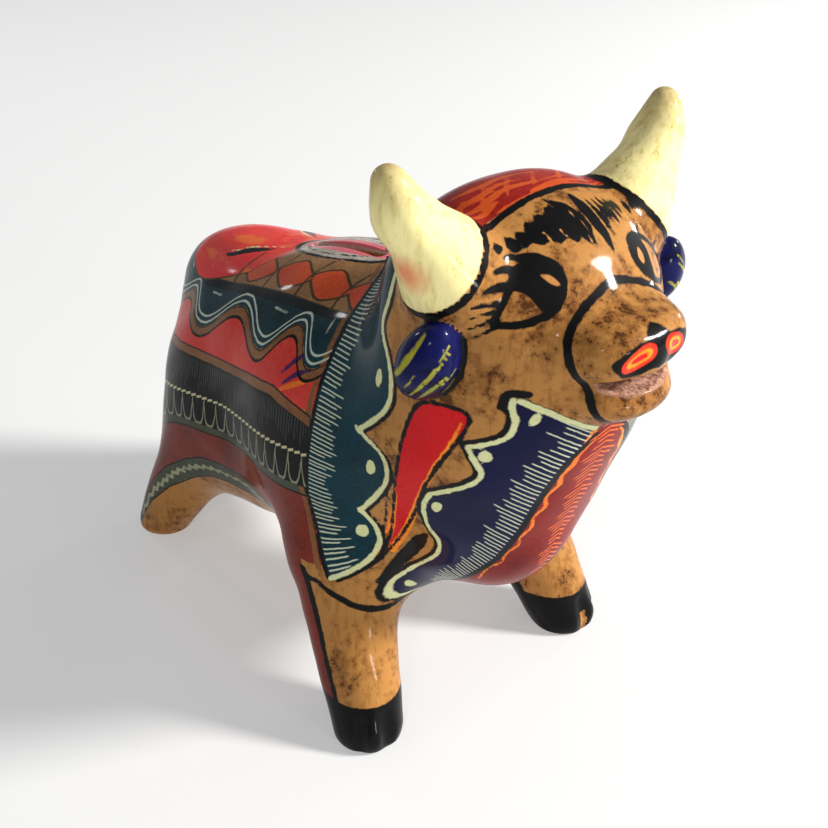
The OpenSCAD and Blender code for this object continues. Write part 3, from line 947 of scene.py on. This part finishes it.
def bandLines(paint, colour):
    # the thin lines stop at the collar, the flower and the ring of the slot
    clear = ((paint.field("collarAcross") - 0.3) / 0.4).clamp()
    clear = clear * ((paint.field("flower") + 0.6) / 0.4).clamp()
    clear = clear * ((paint.field("slotRing") - 0.2) / 0.4).clamp()
    dry = ((paint.sponge + paint.bristle - 0.62) * 6).clamp()
    for key, offset, half, ink in thinLines:
        away = (paint.field(key) + offset + paint.wander * 0.5).size()
        line = ((half - away) / 0.22).clamp() * clear * dry
        if key in ("flankAngle", "wave", "strip"):
            line = line * ((paint.field("flankAngle") + 14.0) / 0.6).clamp()
        if key == "arch":
            line = line * edge(paint, "archReach")
        colour = paint.mix(line, colour, shade(*palette[ink][0]))
    return colour


def fineRows(paint, colour):
    # collar fringe, navy panel and brisket
    pale = shade(196, 202, 176)
    aroundNeck = 42 * paint.x.maths("ARCTAN2", paint.x.size(), -1.0 * (paint.y + 38))
    angle, across = paint.field("flankAngle"), paint.field("navyAcross")
    fringe = strokes(paint, angle * degree + paint.wander * 0.4, -1.0 - paint.field("collarAcross"),
                     "fringe")
    colour = paint.mix(fringe * edge(paint, "teal"), colour, pale)
    panel = strokes(paint, paint.z - 0.8 * aroundNeck + paint.wander * 0.4, across - 1.2, "panel")
    colour = paint.mix(panel * edge(paint, "navy"), colour, pale)
    middle = strokes(paint, paint.z + 0.5 * aroundNeck + paint.wander, aroundNeck + 0.4, "brisket")
    return paint.mix(middle * edge(paint, "crimson") * 0.9, colour, shade(224, 104, 40))


def ropeAndLoops(paint, colour):
    # the dark band: combed lines above, a twisted rope, and loops hanging from it
    angle, along = paint.field("flankAngle"), paint.field("flankAlong")
    soot = edge(paint, "soot")
    comb = strokes(paint, along + paint.wander * 0.5, (darkBand["combTop"] - angle) * degree, "comb")
    colour = paint.mix(comb * soot * 0.38, colour, shade(120, 124, 116))
    bead = (along / darkBand["bead"]).part() - 0.5
    twist = (angle - darkBand["ropeAt"]) * degree + bead * 0.9
    rope = ((darkBand["ropeHalf"] - twist.size()) / 0.3).clamp() * ((0.44 - bead.size()) / 0.08).clamp()
    colour = paint.mix(rope * soot, colour, shade(196, 190, 148))
    cell = ((along + paint.wander) / darkBand["loopWide"]).part() * 2 - 1
    cube = cell * cell * cell
    hang = darkBand["loopLow"] + darkBand["loopTall"] * (cube * cell)
    loop = ((0.6 - ((angle - hang) * degree).size() / (1 + 4.2 * cube.size())) / 0.28).clamp()
    below = ((darkBand["loopTop"] - angle) / 0.6).clamp()
    return paint.mix(loop * soot * below * 0.9, colour, shade(142, 142, 116))


def paintedMaterial(name, base):
    paint = Paint(name)
    paint.measure()
    colour = clayCoat(paint)
    if base == "horn":
        colour = hornCoat(paint, colour)
    if base == "ear":
        cloud = ((paint.sponge + paint.slow - 0.98) * 4).clamp()
        colour = paint.mix(cloud, shade(*finish["earBlue"]), shade(*finish["earDark"]))
    colour, thick = brushCoats(paint, base, colour)
    if base in ("clay", "leg"):
        colour = ropeAndLoops(paint, fineRows(paint, bandLines(paint, colour)))
    varnish = paint.slow * 1.2 + paint.bristle * 0.05 + thick * 0.25
    shine = finish["varnish"]
    rough = finish["paintRough"] + (paint.speck - 0.5) * 0.14
    if base in ("clay", "leg", "muzzle"):
        # clay left bare in the mouth and inside the bank
        bare = (0.5 - (paint.field("bare") + paint.wander) / 1.0).clamp()
        grit = ((paint.speck + paint.sponge - 0.8) * 2.5).clamp()
        colour = paint.mix(bare, colour, paint.mix(grit, shade(98, 60, 46), shade(206, 160, 138)))
        inner = paint.field("inner")
        colour = paint.mix(inner, colour, shade(168, 92, 60))
        shine = (finish["varnish"] - bare * 0.3) * (1 - inner)
        varnish = varnish + bare * paint.speck * 2.0
    bump = paint.node("Bump", None, {
        "Strength": finish["relief"], "Distance": finish["reliefDepth"], "Height": varnish})
    surface = paint.node("BsdfPrincipled", None, {
        "Base Color": colour, "Roughness": rough, "Specular IOR Level": finish["paintGloss"],
        "Coat Weight": shine, "Coat Roughness": finish["varnishRough"],
        "Coat IOR": finish["varnishIor"], "Normal": bump.outputs[0]})
    out = paint.node("OutputMaterial")
    paint.tree.links.new(surface.outputs[0], out.inputs[0])
    return paint.material


materials = {base: paintedMaterial(name, base) for base, name in
             (("clay", "paintedClay"), ("muzzle", "tanClay"), ("horn", "creamHorn"), ("ear", "navyEar"),
              ("leg", "legClay"))}
print("materials mixed")

# the pieces
pieces = {}


def meshPiece(name, verts, faces, loopNormals, values, material):
    me = bpy.data.meshes.new(name)
    me.from_pydata((verts * mm).tolist(), [], faces)
    me.polygons.foreach_set("use_smooth", [True] * len(me.polygons))
    me.update()
    me.normals_split_custom_set(loopNormals)
    for key, array in values.items():
        me.attributes.new(key, "FLOAT", "POINT").data.foreach_set("value", array.astype(np.float32))
    me.materials.append(material)
    piece = bpy.data.objects.new(name, me)
    bpy.context.scene.collection.objects.link(piece)
    pieces[name] = piece
    return piece


def edgeLoops(quads):
    # the open edges of a set of faces, each running the way its face does
    a = quads.reshape(-1)
    b = np.roll(quads, -1, 1).reshape(-1)
    key, back = a * len(skin) + b, b * len(skin) + a
    lone = ~np.isin(key, back)
    return np.stack([a[lone], b[lone]], 1)


def takePiece(name, chosen, base, wall):
    quads = skinQuads[chosen]
    used, flat = np.unique(quads, return_inverse=True)
    local = flat.reshape(quads.shape)
    verts, outward = skin[used], normals[used]
    count = len(used)
    back = {int(g): i for i, g in enumerate(used)}
    rim = [(back[int(a)], back[int(b)]) for a, b in edgeLoops(quads)]
    values = {k: v[used] for k, v in layers.items()}
    values["inner"] = np.zeros(count)
    if wall:
        inside = verts - outward * wall
        allVerts = np.concatenate([verts, inside])
        faces = local.tolist() + (local[:, ::-1] + count).tolist()
        faces += [(b, a, a + count, b + count) for a, b in rim]
        values = {k: np.concatenate([v, np.full(count, far)]) for k, v in values.items()}
        values["inner"][count:] = 1
        loops = np.concatenate([outward[local.reshape(-1)], np.zeros((4 * (len(local) + len(rim)), 3))])
    else:
        # the open end is closed with a fan that is pushed into the shell
        onRim = sorted({i for e in rim for i in e})
        hub = verts[onRim].mean(0)
        inward = -(verts.mean(0) - hub) / np.linalg.norm(verts.mean(0) - hub)
        hub = hub + inward * cut["capDepth"]
        allVerts = np.concatenate([verts, [hub]])
        faces = local.tolist() + [(b, a, count) for a, b in rim]
        values = {k: np.append(v, far) for k, v in values.items()}
        loops = np.concatenate([outward[local.reshape(-1)], np.zeros((3 * len(rim), 3))])
    return meshPiece(name, allVerts, faces, loops, values, materials[base])


for number, base, wall, slot, names in (
        (0, "clay", clay["wall"], "painted_clay", ("rightHalfShell", "leftHalfShell")),
        (2, "horn", 0, "cream_horn", ("rightHorn", "leftHorn")),
        (3, "ear", 0, "navy_ear", ("rightEar", "leftEar")),
        (4, "leg", 0, "leg_clay", ("frontRightLeg", "frontLeftLeg")),
        (5, "leg", 0, "leg_clay", ("rearRightLeg", "rearLeftLeg"))):
    for hand in (0, 1):
        takePiece(names[hand], (label == number) & (side == hand), base, wall)
takePiece("muzzlePiece", label == 1, "muzzle", 0)
print("pieces made", {n: len(p.data.polygons) for n, p in pieces.items()})

# tail
tail = {
    "centre": (0, 62, 78), "startAngle": 24, "sweep": 74, "drift": 0.27,    # degrees down the rump
    "rings": 60, "sides": 20, "radius": 3.0, "thin": 0.6, "tuft": 2.4, "tuftAt": 0.88, "strands": 7,
}


def onSkin(origin, way):
    # how far from the origin the skin is along each way
    low, high = np.zeros(len(way)), np.full(len(way), 60.0)
    for turn in range(14):
        half = (low + high) / 2
        out = clayField(origin + way * half[:, None], False) > 0
        high, low = np.where(out, half, high), np.where(out, low, half)
    return low


s = np.linspace(0, 1, tail["rings"] + 1)
turn = np.radians(tail["startAngle"] - tail["sweep"] * s)
way = np.stack([tail["drift"] * s * s, np.cos(turn), np.sin(turn)], 1)
way /= np.linalg.norm(way, axis=1)[:, None]
origin = np.array(tail["centre"], float)
spine = origin + way * onSkin(origin, way)[:, None]
run = np.gradient(spine, axis=0)
run /= np.linalg.norm(run, axis=1)[:, None]
sideways = np.cross(run, way)
sideways /= np.linalg.norm(sideways, axis=1)[:, None]
upward = np.cross(sideways, run)
radius = tail["radius"] - tail["thin"] * s + tail["tuft"] * np.exp(-((s - tail["tuftAt"]) / 0.09) ** 2)
endRound = np.clip(np.sqrt(1 - np.clip((s - 0.93) / 0.075, 0, 0.98) ** 2), 0.1, 1)
radius = radius * endRound * np.clip(np.sqrt(s / 0.03) + 0.2, 0, 1)
around = np.linspace(0, 2 * math.pi, tail["sides"], endpoint=False)
comb = 1 + 0.09 * np.sin(around * tail["strands"])[None, :] * np.clip((s - 0.7) / 0.1, 0, 1)[:, None]
comb += 0.04 * np.sin(around[None, :] * 2 + s[:, None] * 60) * np.clip((0.75 - s) / 0.1, 0, 1)[:, None]
spokes = (sideways[:, None] * np.cos(around)[None, :, None]
          + upward[:, None] * np.sin(around)[None, :, None])
tube = spine[:, None] + spokes * (radius[:, None] * comb)[:, :, None]
count = tail["sides"]
tailFaces = [(i * count + j, i * count + (j + 1) % count,
              (i + 1) * count + (j + 1) % count, (i + 1) * count + j)
             for i in range(tail["rings"]) for j in range(count)]
tailFaces += [tuple(range(count))[::-1], tuple(range(tail["rings"] * count, (tail["rings"] + 1) * count))]


def tailMaterial():
    paint = Paint("blackTail")
    place = paint.node("TexCoord").outputs["Object"]
    scaled = paint.node("VectorMath", {"operation": "SCALE"}, {0: place, "Scale": 1000.0}).outputs[0]
    grain = paint.noise(scaled, 0.6, 4.0, 0.6)
    colour = paint.mix(((grain - 0.45) * 3).clamp(), shade(12, 12, 13), shade(40, 34, 28))
    bump = paint.node("Bump", None, {"Strength": 0.5, "Distance": 0.0005, "Height": grain})
    surface = paint.node("BsdfPrincipled", None, {
        "Base Color": colour, "Roughness": 0.35 + (grain - 0.5) * 0.2, "Coat Weight": 1.0,
        "Coat Roughness": finish["varnishRough"], "Normal": bump.outputs[0]})
    out = paint.node("OutputMaterial")
    paint.tree.links.new(surface.outputs[0], out.inputs[0])
    return paint.material


meshPiece("tailPiece", tube.reshape(-1, 3), tailFaces, np.zeros((sum(len(f) for f in tailFaces), 3)), {},
          tailMaterial())
stands = {
    "rightHalfShell": "right_half_shell", "leftHalfShell": "left_half_shell",
    "muzzlePiece": "muzzle", "tailPiece": "tail",
    "rightHorn": "right_horn", "leftHorn": "left_horn",
    "rightEar": "right_ear", "leftEar": "left_ear",
    "frontRightLeg": "front_right_leg", "frontLeftLeg": "front_left_leg",
    "rearRightLeg": "rear_right_leg", "rearLeftLeg": "rear_left_leg",
}
for name, piece in pieces.items():
    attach(piece, "root")
    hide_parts(stands[name])
print("pieces riding on the frame", len(pieces))

# floor, light and camera
studio = {
    "floorTone": 0.52, "floorGlow": 0.34, "skyTone": (0.95, 0.97, 1.0), "skyStrength": 0.3,
    # lamps: place in mm, size in mm, power in watts, warmth
    "lamps": {
        "keyLamp": [(1240, -1120, 1100), 380, 62.0, (1.0, 0.98, 0.95)],
        "lowLamp": [(60, -1150, 130), 130, 2.4, (1.0, 0.98, 0.95)],
        "rightLamp": [(1000, 60, 260), 110, 1.4, (1.0, 1.0, 1.0)],
        "leftLamp": [(-640, -520, 610), 90, 1.0, (0.95, 0.98, 1.0)],
        "backLamp": [(-60, 900, 420), 90, 0.5, (0.95, 0.98, 1.0)],
    },
    "lensLength": 54.4, "sensor": 36.0, "distance": 386.5, "turn": -40.67, "raise": 32.38, "roll": 1.65,
    "aim": (0, -13.35, 83.1),
}
bpy.ops.mesh.primitive_plane_add(size=6.0)
floor = bpy.context.object
floor.name = "floor"
paint = Paint("floorPaper")
place = paint.node("TexCoord").outputs["Object"]
fleck = paint.noise(place, 60.0, 3.0)
tone = studio["floorTone"]
colour = paint.mix(fleck, (tone, tone, tone, 1), (tone * 0.985, tone * 0.985, tone * 0.98, 1))
surface = paint.node("BsdfPrincipled", None, {
    "Base Color": colour, "Roughness": 0.9, "Specular IOR Level": 0.1,
    "Emission Color": (1.0, 1.0, 1.0, 1.0), "Emission Strength": studio["floorGlow"]})
paint.tree.links.new(surface.outputs[0], paint.node("OutputMaterial").inputs[0])
floor.data.materials.append(paint.material)

world = bpy.data.worlds.new("studioAir")
world.use_nodes = True
world.node_tree.nodes["Background"].inputs[0].default_value = studio["skyTone"] + (1,)
world.node_tree.nodes["Background"].inputs[1].default_value = studio["skyStrength"]
bpy.context.scene.world = world
for name, (place, size, power, warmth) in studio["lamps"].items():
    lamp = bpy.data.lights.new(name, "AREA")
    lamp.shape, lamp.size, lamp.energy, lamp.color = "DISK", size * mm, power, warmth
    holder = bpy.data.objects.new(name, lamp)
    holder.location = Vector(place) * mm
    holder.rotation_euler = (Vector((0, 0, 80)) - Vector(place)).to_track_quat("-Z", "Y").to_euler()
    bpy.context.scene.collection.objects.link(holder)

camera = bpy.data.objects.new("camera", bpy.data.cameras.new("camera"))
bpy.context.scene.collection.objects.link(camera)
bpy.context.scene.camera = camera
camera.data.lens, camera.data.sensor_width = studio["lensLength"], studio["sensor"]
turnBy, raiseBy, rollBy = [math.radians(studio[k]) for k in ("turn", "raise", "roll")]
aim = Vector(studio["aim"]) * mm
away = Vector((math.sin(turnBy) * math.cos(raiseBy), -math.cos(turnBy) * math.cos(raiseBy),
               math.sin(raiseBy)))
right = Vector((math.cos(turnBy), math.sin(turnBy), 0))
upright = away.cross(right)
camera.location = aim + away * studio["distance"] * mm
rolledRight = right * math.cos(rollBy) + upright * math.sin(rollBy)
rolledUp = upright * math.cos(rollBy) - right * math.sin(rollBy)
rotation = camera.rotation_euler.to_matrix()
rotation.col[0], rotation.col[1], rotation.col[2] = rolledRight, rolledUp, away
camera.rotation_euler = rotation.to_euler()
bpy.context.scene.view_settings.view_transform = "Standard"
print("studio set")
